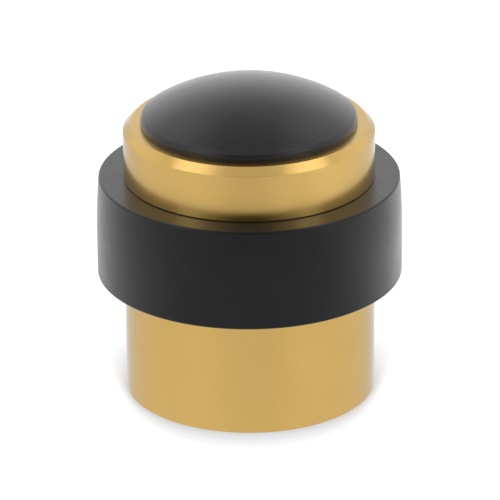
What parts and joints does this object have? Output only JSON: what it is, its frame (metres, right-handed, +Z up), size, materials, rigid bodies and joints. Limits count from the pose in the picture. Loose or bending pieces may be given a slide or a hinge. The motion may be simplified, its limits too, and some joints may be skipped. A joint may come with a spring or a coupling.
{
  "type": "floor door stop",
  "caption": "Cylindrical satin gold floor door stop with a wide black rubber buffer ring in a groove and a black domed push-in cap over its screw well.",
  "frame": {"origin": "middle of the underside, on the floor", "axes": "+Z up the axis that all three pieces are turned about; X and Y are alike"},
  "size_m": [0.0402, 0.0402, 0.0426],
  "materials": {
    "satin_gold": "fine satin turned finish",
    "ring_rubber": "smooth semi-matt moulded rubber",
    "cap_rubber": "fine matt moulded rubber"
  },
  "bodies": {
    "root": {"body": "satin_gold", "buffer_ring": "ring_rubber", "cap": "cap_rubber"}
  },
  "joints": []
}
